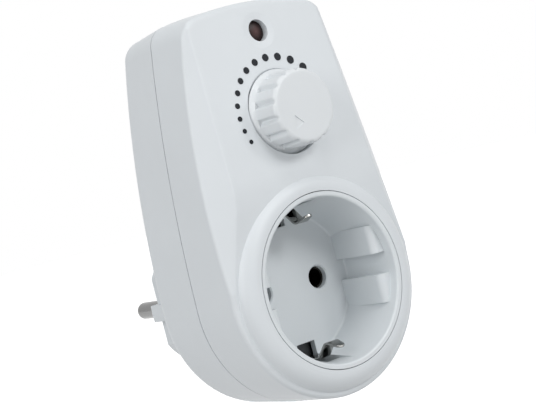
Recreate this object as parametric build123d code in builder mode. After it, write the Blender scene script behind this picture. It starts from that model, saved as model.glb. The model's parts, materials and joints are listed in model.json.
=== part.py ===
from build123d import *
import math
import os

os.makedirs("parts", exist_ok=True)

# A plug in dimmer. The origin is the centre of the plug's end face, between its two pins.
# +Y runs along the pins into the wall, +Z is up and +X is to the right, seen from the room.
# Lengths are millimetres. A depth is counted from the plane of the socket's rim towards the wall.

# The plug and socket system
pin_radius = 2.4
pin_length = 19.0
pin_spacing = 19.0
plug_radius = 18.5
plug_length = 17.5
plug_flat_x = 16.0
plug_wall = 3.0
plug_side_wall = 2.5
plug_skin = 2.8
plug_edge = 0.8
plug_flange_width = 2.0
plug_flange_thickness = 1.5
plug_neck_clearance = 0.1
tongue_half_width = 2.3

# The recess of the socket
recess_depth = 18.0
recess_mouth_radius = 21.1
recess_floor_radius = 19.4
floor_thickness = 1.8
pin_hole_radius = 2.95
pin_hole_edge = 0.35
lip_rounding = 0.6
lip_width = 1.3
insert_skin = 2.2
guide_face_x = 17.0
guide_slot_half_width = 2.8
guide_half_width = 10.2
guide_start_depth = 2.6
guide_rounding = 1.9
guide_root_share = 0.9
floor_rounding = 0.6

# The housing's outline: a lower half circle, two long flank arcs and a crowned top
lower_radius = 29.9
flank_radius = 380.0
top_height = 74.0
crown_radius = 90.0
corner_radius = 6.0
front_flank_radius = 300.0
front_draft = 0.4
front_top_draft = 1.2
back_flank_radius = 280.0
back_draft = 0.3
back_top_draft = 1.4

# The housing's depths
body_depth = 40.5
seam_depth = 18.5
collar_height = 3.7
wall = 2.2
seam_gap = 0.25
lip_thickness = 1.0
lip_depth = 1.5
lip_clearance = 0.12
back_edge_radius = 3.4
collar_radius = 24.5
collar_edge = 1.0

# The front of the housing
dial_height = 44.0
panel_depth = 2.74
panel_tilt = 6.0
foot_depth = 1.0
flank_edge_x = 22.2
flank_slope_share = 0.92
flank_lean_share = 0.145
base_depth = 3.3
base_ramp_start = 0.0
base_ramp_share = 0.1
crease_radius = 30.0
side_lean_share = 0.3
front_rounding = 1.3
flank_rounding = 1.3
front_margin = 1.0
post_root_share = 0.7

# The raised ring round the socket
mouth_clearance = 0.2
ring_flat_width = 0.9
ring_bead_radius = 4.6
ring_blend_radius = 0.4
ring_root_depth = 4.6
seat_ring_width = 2.2
seat_depth = 7.0
flange_width = 1.9
flange_thickness = 1.5

# The dial
knob_flange_radius = 10.85
knob_flange_thickness = 1.65
knob_rim_thickness = 0.4
knob_well_clearance = 0.3
knob_well_depth = 4.1
knob_well_floor = 1.8
knob_well_wall = 1.8
knob_well_gap = 0.65
knob_skirt_radius = 9.9
knob_face_radius = 9.5
knob_height = 9.05
knob_face_rounding = 0.7
knob_face_thickness = 1.5
knob_skin = 1.3
knob_hub_radius = 4.6
groove_depth = 0.8
groove_half_angle = 4.2
groove_count = 14
groove_angle = 164.5
lobe_drop = 0.3
pointer_reach = 7.3
pointer_length = 3.25
pointer_width = 3.3
pointer_sink = 0.2
pointer_angle = 228.0
shaft_radius = 3.0
shaft_flat = 2.3
shaft_fit = 0.05
shaft_end_gap = 0.3
shaft_hole_clearance = 0.6

# The printed scale
scale_radius = 14.3
scale_start_angle = 203.4
dot_count = 14
first_dot = 1.15
dot_growth = 0.1
dot_gap = 1.9
dot_thickness = 0.1

# The indicator
lamp_rise = 21.4
lamp_hole_radius = 2.9
dish_radius = 4.8
dish_sink = 0.25
lens_clearance = 0.15
lens_recess = 1.9
lens_dome = 0.7
lens_length = 5.6
lens_flange_width = 0.9
lens_flange_thickness = 1.0
lens_flange_gap = 0.25
lamp_radius = 2.0
lamp_length = 9.0
lamp_gap = 0.3
lamp_rounding_share = 0.8
lead_radius = 0.3

# The screws and posts
post_x_upper = 16.2
post_rise_upper = 16.5
post_x_lower = 22.0
post_height_lower = 21.5
front_post_radius = 2.8
rear_post_radius = 3.6
screw_clearance = 0.1
pilot_clearance = 0.02
pilot_spare = 0.5
post_meeting_depth = 20.5
screw_radius = 1.25
screw_head_radius = 2.6
screw_head_height = 1.7
screw_head_sink = 3.6
screw_head_clearance = 0.2
screw_length = 20.0
screw_slot_width = 0.7
screw_slot_share = 0.45
press_post_radius = 1.6
press_post_angles = (210, 270, 330)

# The contacts
contact_fit = 0.05
sleeve_wall = 0.7
sleeve_slot = 0.8
sleeve_end_thickness = 0.8
sleeve_tip_clearance = 0.4
sleeve_solid_length = 4.5
floor_plate_margin = 1.2
chamber_clearance = 0.1
chamber_wall = 1.1
chamber_length = 14.4
tab_half_width = 1.5
tab_half_thickness = 0.4
sleeve_tab_length = 3.0
pin_root_radius = 2.7
pin_flange_radius = 3.5
pin_flange_thickness = 2.2
pin_boss_clearance = 0.1
pin_boss_wall = 1.3
pin_tail_radius = 1.9
pin_tail_length = 3.0
pin_tab_length = 5.0
retainer_thickness = 2.0
retainer_clearance = 0.2
link_thickness = 0.8
link_overlap = 2.0

# The earth parts
clip_half_width = 2.0
clip_thickness = 0.7
clip_root_height = 19.5
clip_bend_depth = 11.8
clip_crest_depth = 7.8
clip_crest_height = 15.5
clip_tip_depth = 4.6
clip_tip_height = 18.0
clip_rounding = 1.9
clip_tip_rounding = 1.7
clip_root_gap = 0.3
clip_slot_half_width = 3.0
clip_slot_inner_height = 15.4
clip_slot_outer_height = 20.6
clip_groove_depth = 2.6
clip_window_depth = 9.2
strap_gap = 0.3
strap_thickness = 0.8
strap_half_width = 2.5
strap_half_length = 20.0
strap_pad_height = 9.0
strap_pad_radius = 2.3
strap_peg_radius = 0.9
strap_peg_length = 0.9
strap_peg_clearance = 0.1
earth_bar_half_width = 2.2
earth_bar_height = 17.0
earth_bar_thickness = 0.8
earth_bar_clearance = 0.15
earth_bar_setback = 0.7

# The circuit board, placed from the dial's axis
board_depth = 22.5
board_thickness = 1.6
board_half_width = 19.0
board_below = 16.0
board_above = 23.0
board_corner = 1.5
board_clearance = 0.4
board_post_radius = 2.2
board_post_x_lower = 16.4
board_post_drop = 12.5
board_post_x_upper = 11.0
board_post_rise = 21.0
board_screw_radius = 0.9
board_screw_head_radius = 2.0
board_screw_head_height = 1.2
board_screw_length = 7.0

# The potentiometer
pot_radius = 8.5
pot_height = 9.0
pot_skin = 1.1
pot_floor = 2.6
pot_bush_radius = 4.5
pot_bush_length = 3.5
rotor_radius = 6.6
rotor_thickness = 1.6
rotor_gap = 0.3
track_thickness = 0.6
track_gap = 2.5
track_inner_radius = 4.2
track_outer_radius = 6.8
wiper_inner_radius = 4.7
wiper_outer_radius = 6.2
wiper_gap = 0.1
wiper_arc = 40.0

# The parts on the board
fuse_x = 14.4
fuse_low = 8.0
fuse_length = 20.0
fuse_radius = 2.5
fuse_skin = 0.4
fuse_cap_length = 5.5
fuse_cap_skin = 0.25
fuse_lift = 1.4
fuse_clip_width = 4.0
fuse_clip_skin = 0.5
film_x = -14.0
film_rise = 3.0
film_width = 7.0
film_tall = 17.0
film_height = 11.0
film_edge = 0.5
timing_x = -5.0
timing_rise = 12.6
timing_width = 7.0
timing_tall = 4.5
timing_height = 6.5
resistor_x = 3.6
resistor_rise = 11.6
resistor_row = 3.1
resistor_count = 3
resistor_radius = 1.15
resistor_length = 6.2
resistor_lift = 0.6
resistor_lead = 1.4
diac_x = -6.5
diac_drop = 12.5
diac_radius = 0.9
diac_length = 4.0
sink_x = 9.5
sink_low = 9.0
sink_tall = 21.0
sink_width = 13.0
sink_thickness = 1.5
sink_stand = 7.3
triac_width = 10.0
triac_tall = 9.0
triac_height = 4.4
triac_low = 2.0
triac_tab_tall = 6.0
triac_tab_thickness = 1.3
triac_lead_half = 0.4
triac_lead_spacing = 2.54
triac_lead_drop = 2.6
triac_screw_radius = 1.4
triac_screw_head_radius = 2.6
triac_screw_head_height = 1.6
triac_screw_end = 0.8
choke_x = -8.0
choke_rise = 6.0
core_inner_radius = 4.2
core_outer_radius = 7.6
core_height = 5.6
core_rounding = 0.8
choke_gap = 0.25
winding_thickness = 1.1
winding_fit = 0.05
winding_arc = 310.0
terminal_x_live = 12.6
terminal_x_load = 4.0
terminal_x_neutral = -4.6
terminal_drop = 12.8
terminal_size = 2.4
terminal_height = 2.4
wire_radius = 0.95

# The wires' routes from the plug to the board
live_wire_x = 10.0
live_wire_height = 10.0
live_wire_rear = 43.2
live_wire_start = 49.0
live_wire_run = 30.3
load_wire_x = 5.0
load_wire_height = 12.0
load_wire_knee = 6.0
load_wire_run = 32.5
neutral_wire_x = -7.0
neutral_wire_height = 12.0
neutral_wire_knee = 7.0
neutral_wire_rear = 43.0
neutral_wire_run = 32.5

# Bend radius of every wire, and the overrun that takes a cut clear of the surface it opens
wire_bend = 3.2
overrun = 2.0

# Planes worked out from the sizes above
collar_y = -plug_length
rim_y = collar_y - body_depth
seam_y = rim_y + seam_depth
back_y = collar_y - collar_height
floor_y = rim_y + recess_depth
insert_back_y = floor_y + floor_thickness
board_front_y = rim_y + board_depth
board_back_y = board_front_y + board_thickness
pin_half = pin_spacing / 2
tilt = math.radians(panel_tilt)
insert_radius = recess_mouth_radius + lip_width
mouth_radius = insert_radius + mouth_clearance
lamp_height = dial_height + lamp_rise
sleeve_outer = pin_radius + contact_fit + sleeve_wall
sleeve_end_y = floor_y + pin_length + sleeve_tip_clearance + sleeve_end_thickness
pin_flange_y = -plug_skin - pin_flange_thickness
pin_tail_y = pin_flange_y - pin_tail_length
strap_y = insert_back_y + strap_gap
terminal_height_z = dial_height - terminal_drop
housing_posts = (
    (-post_x_upper, dial_height + post_rise_upper),
    (post_x_upper, dial_height + post_rise_upper),
    (-post_x_lower, post_height_lower),
    (post_x_lower, post_height_lower),
)
board_posts = (
    (-board_post_x_lower, dial_height - board_post_drop),
    (board_post_x_lower, dial_height - board_post_drop),
    (-board_post_x_upper, dial_height + board_post_rise),
    (board_post_x_upper, dial_height + board_post_rise),
)


def facing_front(y):
    """The plane across the housing at this y, seen from the front: local x is X, local y is Z."""
    return Plane.XZ.offset(-y)


def panel_y(z):
    """The y of the dial panel's outer surface at this height."""
    tilted = rim_y + panel_depth + (z - dial_height) * math.tan(tilt)
    return max(tilted, rim_y + foot_depth)


def upper_crossing(centre_a, radius_a, centre_b, radius_b):
    """The upper point where two circles cross."""
    across = centre_b[0] - centre_a[0]
    up = centre_b[1] - centre_a[1]
    apart = math.hypot(across, up)
    along = (radius_a**2 - radius_b**2 + apart**2) / (2 * apart)
    aside = math.sqrt(radius_a**2 - along**2)
    x = centre_a[0] + (along * across - aside * up) / apart
    z = centre_a[1] + (along * up + aside * across) / apart
    return x, z


def outline(radius, flank, top, crown, corner):
    """The housing's outline as a sketch: half circle below, flank arcs, crowned top."""
    flank_centre = (radius - flank, 0)
    crown_centre = (0, top - crown)
    x, z = upper_crossing(flank_centre, flank, crown_centre, crown)
    flank_angle = math.degrees(math.atan2(z - flank_centre[1], x - flank_centre[0]))
    crown_angle = math.degrees(math.atan2(z - crown_centre[1], x - crown_centre[0]))
    with BuildSketch() as shape:
        with BuildLine():
            CenterArc((0, 0), radius, 180, 180)
            CenterArc(flank_centre, flank, 0, flank_angle)
            CenterArc(crown_centre, crown, crown_angle, 180 - 2 * crown_angle)
            CenterArc((-flank_centre[0], 0), flank, 180 - flank_angle, flank_angle)
        make_face()
        fillet(shape.vertices().group_by(Axis.Y)[-1], corner)
    return shape.sketch


def seam_outline(inset):
    return outline(
        lower_radius - inset,
        flank_radius - inset,
        top_height - inset,
        crown_radius - inset,
        corner_radius - inset,
    )


def front_outline(inset):
    return outline(
        lower_radius - front_draft - inset,
        front_flank_radius - inset,
        top_height - front_top_draft - inset,
        crown_radius - inset,
        corner_radius - inset,
    )


def back_outline(inset):
    return outline(
        lower_radius - back_draft - inset,
        back_flank_radius - inset,
        top_height - back_top_draft - inset,
        crown_radius - inset,
        corner_radius - inset,
    )


def front_form(inset, rounded):
    """The front half of the housing as a closed form, shrunk by inset, from its rim plane at y = 0."""
    slope = flank_slope_share
    panel_share = math.tan(tilt)
    flank_shift = inset * (math.hypot(1, slope) - 1) / slope
    foot_start = base_ramp_start + (base_depth - foot_depth) / base_ramp_share
    foot_end = dial_height - (panel_depth - foot_depth) / panel_share
    low = -lower_radius - overrun
    high = top_height + overrun
    with BuildPart() as form:
        with BuildSketch(facing_front(-front_margin)):
            add(front_outline(inset))
        with BuildSketch(facing_front(seam_depth)):
            add(seam_outline(inset))
        loft(ruled=True)
        with BuildSketch(Plane.YZ):
            with BuildLine():
                front = FilletPolyline(
                    (base_depth + inset, low),
                    (base_depth + inset, base_ramp_start),
                    (foot_depth + inset, foot_start),
                    (foot_depth + inset, foot_end),
                    (panel_depth + inset + (high - dial_height) * panel_share, high),
                    radius=crease_radius,
                )
                Polyline(front @ 1, (seam_depth + overrun, high), (seam_depth + overrun, low), front @ 0)
            make_face()
        extrude(amount=lower_radius + overrun, both=True, mode=Mode.INTERSECT)
        if rounded:
            side_faces = form.faces().filter_by(lambda face: abs(face.normal_at().Y) < side_lean_share)
            rim_edges = [
                edge
                for edge in form.edges()
                if edge.center().Y < seam_depth - wall
                and sum(any(edge.is_same(own) for own in face.edges()) for face in side_faces) == 1
            ]
            fillet(rim_edges, front_rounding)
        for side in (-1, 1):
            flank = Plane(
                origin=(side * (flank_edge_x - flank_shift), panel_depth + inset, dial_height),
                z_dir=(side * slope, -1, flank_lean_share),
            )
            split(bisect_by=flank, keep=Keep.BOTTOM)
        if rounded:
            side_faces = form.faces().filter_by(lambda face: abs(face.normal_at().Y) < side_lean_share)
            flank_faces = form.faces().filter_by(GeomType.PLANE)
            flank_faces = flank_faces.filter_by(lambda face: abs(face.normal_at().X) > side_lean_share)
            flank_faces = flank_faces.filter_by(lambda face: abs(face.normal_at().Y) > side_lean_share)
            side_edges = side_faces.edges()
            flank_edges = [
                edge for edge in flank_faces.edges() if any(edge.is_same(other) for other in side_edges)
            ]
            fillet(flank_edges, flank_rounding)
    return form.part.moved(Location((0, rim_y, 0)))


# Front shell: the white front half with the dial panel, slanted flanks and the raised ring
well_radius = knob_flange_radius + knob_well_clearance
with BuildPart() as front_cavity:
    add(front_form(wall, False))
    with BuildSketch(facing_front(rim_y + knob_well_depth + knob_well_floor)):
        with Locations((0, dial_height)):
            Circle(well_radius + knob_well_wall)
    extrude(amount=knob_well_depth + knob_well_floor + overrun, mode=Mode.SUBTRACT)
with BuildPart() as front_shell:
    add(front_form(0, True))
    with BuildSketch(Plane.XY):
        with BuildLine():
            flat_end = mouth_radius + ring_flat_width
            drop_share = base_depth / (ring_bead_radius + ring_blend_radius)
            turn = math.degrees(math.acos(1 - drop_share))
            bead = JernArc((flat_end, rim_y), (1, 0), ring_bead_radius, turn)
            blend = JernArc(bead @ 1, bead % 1, ring_blend_radius, -turn)
            Polyline(
                blend @ 1,
                ((blend @ 1).X, rim_y + ring_root_depth),
                (mouth_radius, rim_y + ring_root_depth),
                (mouth_radius, rim_y),
                (flat_end, rim_y),
            )
        make_face()
    revolve(axis=Axis.Y)
    add(front_cavity.part, mode=Mode.SUBTRACT)
    with BuildSketch(facing_front(rim_y + seat_depth)):
        Circle(mouth_radius + seat_ring_width)
    extrude(amount=seat_depth - foot_depth - wall / 2)
    with BuildSketch(facing_front(rim_y + seat_depth)):
        Circle(mouth_radius)
    extrude(amount=seat_depth + overrun, mode=Mode.SUBTRACT)
    dish_sphere = (dish_radius**2 + dish_sink**2) / (2 * dish_sink)
    dish_reach = dish_sphere - dish_sink
    dish_y = panel_y(lamp_height) - dish_reach * math.cos(tilt)
    with Locations((0, dish_y, lamp_height + dish_reach * math.sin(tilt))):
        Sphere(dish_sphere, mode=Mode.SUBTRACT)
    with BuildSketch(facing_front(rim_y + knob_well_depth)):
        with Locations((0, dial_height)):
            Circle(well_radius)
    extrude(amount=knob_well_depth + overrun, mode=Mode.SUBTRACT)
    with BuildSketch(facing_front(panel_y(top_height) + wall)):
        with Locations((0, dial_height)):
            Circle(shaft_radius + shaft_hole_clearance)
        with Locations((0, lamp_height)):
            Circle(lamp_hole_radius)
    extrude(amount=seam_depth, mode=Mode.SUBTRACT)
    for post_x, post_z in housing_posts:
        post_start = panel_y(post_z) + wall * post_root_share
        with BuildSketch(facing_front(rim_y + post_meeting_depth)):
            with Locations((post_x, post_z)):
                Circle(front_post_radius)
        extrude(amount=rim_y + post_meeting_depth - post_start)
        with BuildSketch(facing_front(rim_y + post_meeting_depth)):
            with Locations((post_x, post_z)):
                Circle(screw_radius + pilot_clearance)
        pilot_y = back_y - screw_head_sink - screw_length - pilot_spare
        extrude(amount=rim_y + post_meeting_depth - pilot_y, mode=Mode.SUBTRACT)
    for post_x, post_z in board_posts:
        post_start = panel_y(post_z) + wall * post_root_share
        with BuildSketch(facing_front(board_front_y)):
            with Locations((post_x, post_z)):
                Circle(board_post_radius)
        extrude(amount=board_front_y - post_start)
        with BuildSketch(facing_front(board_front_y)):
            with Locations((post_x, post_z)):
                Circle(board_screw_radius + pilot_clearance)
        extrude(
            amount=board_screw_length - board_thickness + pilot_spare,
            mode=Mode.SUBTRACT,
        )
    with BuildSketch(facing_front(seam_y + lip_depth)):
        add(seam_outline(wall - lip_thickness))
        add(seam_outline(wall), mode=Mode.SUBTRACT)
    extrude(amount=lip_depth + wall)
front_shell.part.label = "front_shell"
export_step(front_shell.part, "parts/front_shell.step")


def rear_form(inset, end_y):
    """The rear half of the housing as a closed form, shrunk by inset, from the seam to end_y."""
    with BuildPart() as form:
        with BuildSketch(facing_front(seam_y + seam_gap)):
            add(seam_outline(inset))
        with BuildSketch(facing_front(end_y)):
            add(back_outline(inset))
        loft(ruled=True)
    return form.part


def plug_outline():
    """The plug body's outline: a round with a flat and a tongue at each side."""
    with BuildSketch() as shape:
        Circle(plug_radius)
        notch = plug_radius - tongue_half_width
        for side in (-1, 1):
            for half in (-1, 1):
                with Locations((side * (plug_flat_x + notch / 2), half * (tongue_half_width + notch / 2))):
                    Rectangle(notch, notch, mode=Mode.SUBTRACT)
    return shape.sketch


def plug_bore(clearance):
    """The hollow of the plug body, shrunk by a clearance."""
    with BuildSketch() as shape:
        Circle(plug_radius - plug_wall - clearance)
        width = plug_flat_x - plug_side_wall - clearance
        Rectangle(2 * width, 2 * plug_radius, mode=Mode.INTERSECT)
    return shape.sketch


# Rear shell: the rear half with its round collar, open for the plug body
with BuildPart() as rear_shell:
    add(rear_form(0, back_y))
    fillet(rear_shell.edges().group_by(Axis.Y)[-1], back_edge_radius)
    with BuildSketch(facing_front(collar_y)):
        Circle(collar_radius)
    extrude(amount=collar_height + wall / 2)
    fillet(rear_shell.edges().group_by(Axis.Y)[-1], collar_edge)
    add(rear_form(wall, back_y - wall), mode=Mode.SUBTRACT)
    with BuildSketch(facing_front(collar_y - wall)):
        Circle(collar_radius - wall)
    extrude(amount=collar_height + wall / 2, mode=Mode.SUBTRACT)
    with BuildSketch(facing_front(collar_y)):
        Circle(plug_radius + plug_neck_clearance)
    extrude(amount=wall, mode=Mode.SUBTRACT)
    for post_x, post_z in housing_posts:
        with BuildSketch(facing_front(back_y - wall / 2)):
            with Locations((post_x, post_z)):
                Circle(rear_post_radius)
        extrude(amount=back_y - wall / 2 - rim_y - post_meeting_depth)
        with BuildSketch(facing_front(back_y + overrun)):
            with Locations((post_x, post_z)):
                Circle(screw_head_radius + screw_head_clearance)
        extrude(amount=screw_head_sink + overrun, mode=Mode.SUBTRACT)
        with BuildSketch(facing_front(back_y)):
            with Locations((post_x, post_z)):
                Circle(screw_radius + screw_clearance)
        extrude(amount=back_y - rim_y - post_meeting_depth + overrun, mode=Mode.SUBTRACT)
    with BuildSketch(facing_front(back_y - wall / 2)):
        for angle in press_post_angles:
            with Locations(Location((0, 0), angle)):
                with Locations((insert_radius + flange_width / 2, 0)):
                    Circle(press_post_radius)
    extrude(amount=back_y - wall / 2 - rim_y - seat_depth - flange_thickness)
    with BuildSketch(facing_front(seam_y + lip_depth + lip_clearance)):
        add(seam_outline(wall - lip_thickness - lip_clearance))
        with Locations(*housing_posts):
            Circle(rear_post_radius, mode=Mode.SUBTRACT)
        Circle(mouth_radius + seat_ring_width, mode=Mode.SUBTRACT)
    extrude(amount=lip_depth + lip_clearance, mode=Mode.SUBTRACT)
rear_shell.part.label = "rear_shell"
export_step(rear_shell.part, "parts/rear_shell.step")

# Plug body: flange inside the collar, round neck through it, hollow plug with the pins' seats
with BuildPart() as plug_body:
    with BuildSketch(facing_front(0)):
        add(plug_outline())
    extrude(amount=plug_length)
    fillet(plug_body.edges().group_by(Axis.Y)[-1], plug_edge)
    with BuildSketch(facing_front(collar_y)):
        Circle(plug_radius)
    extrude(amount=wall)
    with BuildSketch(facing_front(collar_y - wall)):
        Circle(plug_radius + plug_flange_width)
    extrude(amount=plug_flange_thickness)
    with BuildSketch(facing_front(-plug_skin)):
        add(plug_bore(0))
    extrude(amount=plug_length + wall + plug_flange_thickness, mode=Mode.SUBTRACT)
    with BuildSketch(facing_front(-plug_skin)):
        with Locations((-pin_half, 0), (pin_half, 0)):
            Circle(pin_flange_radius + pin_boss_clearance + pin_boss_wall)
    extrude(amount=pin_flange_thickness)
    with BuildSketch(facing_front(-plug_skin)):
        with Locations((-pin_half, 0), (pin_half, 0)):
            Circle(pin_flange_radius + pin_boss_clearance)
    extrude(amount=pin_flange_thickness, mode=Mode.SUBTRACT)
    with BuildSketch(facing_front(overrun)):
        with Locations((-pin_half, 0), (pin_half, 0)):
            Circle(pin_root_radius + contact_fit)
    extrude(amount=plug_skin + 2 * overrun, mode=Mode.SUBTRACT)
    for side in (-1, 1):
        with BuildSketch(facing_front(overrun)):
            with Locations((0, side * (earth_bar_height - earth_bar_clearance + plug_radius / 2))):
                Rectangle(2 * (earth_bar_half_width + earth_bar_clearance), plug_radius)
        extrude(amount=plug_length + wall + plug_flange_thickness + 2 * overrun, mode=Mode.SUBTRACT)
plug_body.part.label = "plug_body"
export_step(plug_body.part, "parts/plug_body.step")

# Socket insert: the recess with its lip, guides, pin holes and clip slots
with BuildPart() as guides:
    guide_root = recess_floor_radius + insert_skin * guide_root_share
    for half in (-1, 1):
        with BuildSketch(facing_front(floor_y)):
            guide_tall = guide_half_width - guide_slot_half_width
            with Locations(
                (
                    (guide_face_x + guide_root) / 2,
                    half * (guide_slot_half_width + guide_tall / 2),
                )
            ):
                Rectangle(guide_root - guide_face_x, guide_tall)
            Circle(guide_root, mode=Mode.INTERSECT)
        extrude(amount=recess_depth - guide_start_depth)
    guide_ends = guides.edges().group_by(Axis.Y)[0].filter_by(Axis.Z)
    fillet(guide_ends.group_by(Axis.X)[0], guide_rounding)
    mirror(about=Plane.YZ)
with BuildPart() as recess_form:
    with BuildSketch(Plane.XY):
        with BuildLine():
            Polyline(
                (0, floor_y),
                (recess_floor_radius, floor_y),
                (recess_mouth_radius, rim_y),
                (insert_radius, rim_y),
                (insert_radius, rim_y + seat_depth),
                (insert_radius + flange_width, rim_y + seat_depth),
                (insert_radius + flange_width, rim_y + seat_depth + flange_thickness),
                (recess_floor_radius + insert_skin, rim_y + seat_depth + flange_thickness),
                (recess_floor_radius + insert_skin, insert_back_y),
                (0, insert_back_y),
                close=True,
            )
        make_face()
    revolve(axis=Axis.Y)
    rim_circles = recess_form.edges().filter_by(GeomType.CIRCLE).group_by(Axis.Y)[0]
    fillet(rim_circles.sort_by(SortBy.RADIUS)[0], lip_rounding)
    floor_circle = [
        edge
        for edge in recess_form.edges().filter_by(GeomType.CIRCLE)
        if abs(edge.center().Y - floor_y) < floor_thickness / 2
    ]
    fillet(floor_circle, floor_rounding)
    add(guides.part)
    for side in (-1, 1):
        with BuildSketch(facing_front(insert_back_y + overrun)):
            slot_tall = clip_slot_outer_height - clip_slot_inner_height
            with Locations((0, side * (clip_slot_inner_height + slot_tall / 2))):
                Rectangle(2 * clip_slot_half_width, slot_tall)
        extrude(amount=insert_back_y + overrun - rim_y - clip_groove_depth, mode=Mode.SUBTRACT)
        with BuildSketch(facing_front(insert_back_y + overrun)):
            with Locations((0, side * clip_slot_outer_height)):
                Rectangle(2 * clip_slot_half_width, 2 * insert_skin)
        extrude(amount=insert_back_y + overrun - rim_y - clip_window_depth, mode=Mode.SUBTRACT)
    with BuildSketch(facing_front(insert_back_y)):
        with Locations((-pin_half, 0), (pin_half, 0)):
            Circle(pin_hole_radius)
    extrude(amount=floor_thickness + overrun, mode=Mode.SUBTRACT)
    hole_edges = [
        edge
        for edge in recess_form.edges().filter_by(GeomType.CIRCLE)
        if abs(edge.center().Y - floor_y) < pin_hole_edge and edge.radius < sleeve_outer
    ]
    chamfer(hole_edges, pin_hole_edge)
    with BuildSketch(facing_front(strap_y)):
        with Locations((0, -strap_pad_height), (0, strap_pad_height)):
            Circle(strap_pad_radius)
    extrude(amount=strap_gap)
    with BuildSketch(facing_front(strap_y + strap_thickness + strap_peg_length)):
        with Locations((0, -strap_pad_height), (0, strap_pad_height)):
            Circle(strap_peg_radius)
    extrude(amount=strap_thickness + strap_peg_length)
with BuildPart() as floor_region:
    with BuildSketch(facing_front(strap_y + strap_thickness + strap_peg_length + overrun)):
        Circle(recess_floor_radius - floor_plate_margin)
    extrude(amount=strap_y + strap_thickness + strap_peg_length + overrun - floor_y)
with BuildPart() as socket_insert:
    add(recess_form.part)
    add(floor_region.part, mode=Mode.SUBTRACT)
socket_insert.part.label = "socket_insert"
export_step(socket_insert.part, "parts/socket_insert.step")

# Socket floor: the plate in the insert with the pin holes, the clip slots' inner ends and the strap's pegs
with BuildPart() as socket_floor:
    add(recess_form.part)
    add(floor_region.part, mode=Mode.INTERSECT)
socket_floor.part.label = "socket_floor"
export_step(socket_floor.part, "parts/socket_floor.step")

# Contact chambers: an insulating tube round each sleeve, seated on the floor's back
for name, x in (("contact_chamber_left", -pin_half), ("contact_chamber_right", pin_half)):
    with BuildPart() as chamber:
        with BuildSketch(facing_front(insert_back_y + chamber_length)):
            with Locations((x, 0)):
                Circle(sleeve_outer + chamber_clearance + chamber_wall)
                Circle(sleeve_outer + chamber_clearance, mode=Mode.SUBTRACT)
        extrude(amount=chamber_length)
    chamber.part.label = name
    export_step(chamber.part, f"parts/{name}.step")

# Contact sleeves: slotted tubes, closed behind, each with a tab for its lead
for name, x in (("contact_sleeve_left", -pin_half), ("contact_sleeve_right", pin_half)):
    with BuildPart() as sleeve:
        with BuildSketch(facing_front(sleeve_end_y)):
            with Locations((x, 0)):
                Circle(sleeve_outer)
        extrude(amount=sleeve_end_y - insert_back_y - chamber_clearance)
        with BuildSketch(facing_front(sleeve_end_y - sleeve_end_thickness)):
            with Locations((x, 0)):
                Circle(pin_radius + contact_fit)
        extrude(amount=pin_length, mode=Mode.SUBTRACT)
        with BuildSketch(facing_front(sleeve_end_y - sleeve_solid_length)):
            with Locations((x, 0)):
                Rectangle(sleeve_slot, 2 * sleeve_outer + overrun)
        extrude(amount=pin_length, mode=Mode.SUBTRACT)
        with BuildSketch(facing_front(sleeve_end_y + sleeve_tab_length)):
            with Locations((x, 0)):
                Rectangle(2 * tab_half_width, 2 * tab_half_thickness)
        extrude(amount=sleeve_tab_length)
    sleeve.part.label = name
    export_step(sleeve.part, f"parts/{name}.step")

# Plug pins: round tip, wider root in the plug's end wall, flange behind it, tail and tab
for name, x in (("plug_pin_left", -pin_half), ("plug_pin_right", pin_half)):
    with BuildPart() as pin:
        with BuildSketch(facing_front(pin_length - pin_radius)):
            with Locations((x, 0)):
                Circle(pin_radius)
        extrude(amount=pin_length - pin_radius)
        with BuildSketch(facing_front(0)):
            with Locations((x, 0)):
                Circle(pin_root_radius)
        extrude(amount=plug_skin)
        with Locations((x, pin_length - pin_radius, 0)):
            Sphere(pin_radius)
        with BuildSketch(facing_front(-plug_skin)):
            with Locations((x, 0)):
                Circle(pin_flange_radius)
        extrude(amount=pin_flange_thickness)
        with BuildSketch(facing_front(pin_flange_y)):
            with Locations((x, 0)):
                Circle(pin_tail_radius)
        extrude(amount=pin_tail_length)
        with BuildSketch(facing_front(pin_tail_y)):
            with Locations((x, 0)):
                Rectangle(2 * tab_half_width, 2 * tab_half_thickness)
        extrude(amount=pin_tab_length)
    pin.part.label = name
    export_step(pin.part, f"parts/{name}.step")

# Pin retainer: the plate that holds both pins' flanges in their seats
with BuildPart() as pin_retainer:
    with BuildSketch(facing_front(pin_flange_y)):
        add(plug_bore(retainer_clearance))
        with Locations((-pin_half, 0), (pin_half, 0)):
            Circle(pin_tail_radius + contact_fit, mode=Mode.SUBTRACT)
    extrude(amount=retainer_thickness)
pin_retainer.part.label = "pin_retainer"
export_step(pin_retainer.part, "parts/pin_retainer.step")

# Neutral link: the strip from the neutral pin's tab to its sleeve's tab
with BuildPart() as neutral_link:
    link_rear_y = pin_tail_y - pin_tab_length + link_overlap
    link_front_y = sleeve_end_y + sleeve_tab_length - link_overlap
    with BuildSketch(facing_front(link_rear_y)):
        with Locations((-pin_half, tab_half_thickness + link_thickness / 2)):
            Rectangle(2 * tab_half_width, link_thickness)
    extrude(amount=link_rear_y - link_front_y)
neutral_link.part.label = "neutral_link"
export_step(neutral_link.part, "parts/neutral_link.step")

# Earth strap: the flat bar behind the floor, on the insert's two pads
with BuildPart() as earth_strap:
    with BuildSketch(facing_front(strap_y + strap_thickness)):
        Rectangle(2 * strap_half_width, 2 * strap_half_length)
        with Locations((0, -strap_pad_height), (0, strap_pad_height)):
            Circle(strap_peg_radius + strap_peg_clearance, mode=Mode.SUBTRACT)
    extrude(amount=strap_thickness)
earth_strap.part.label = "earth_strap"
export_step(earth_strap.part, "parts/earth_strap.step")

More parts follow.
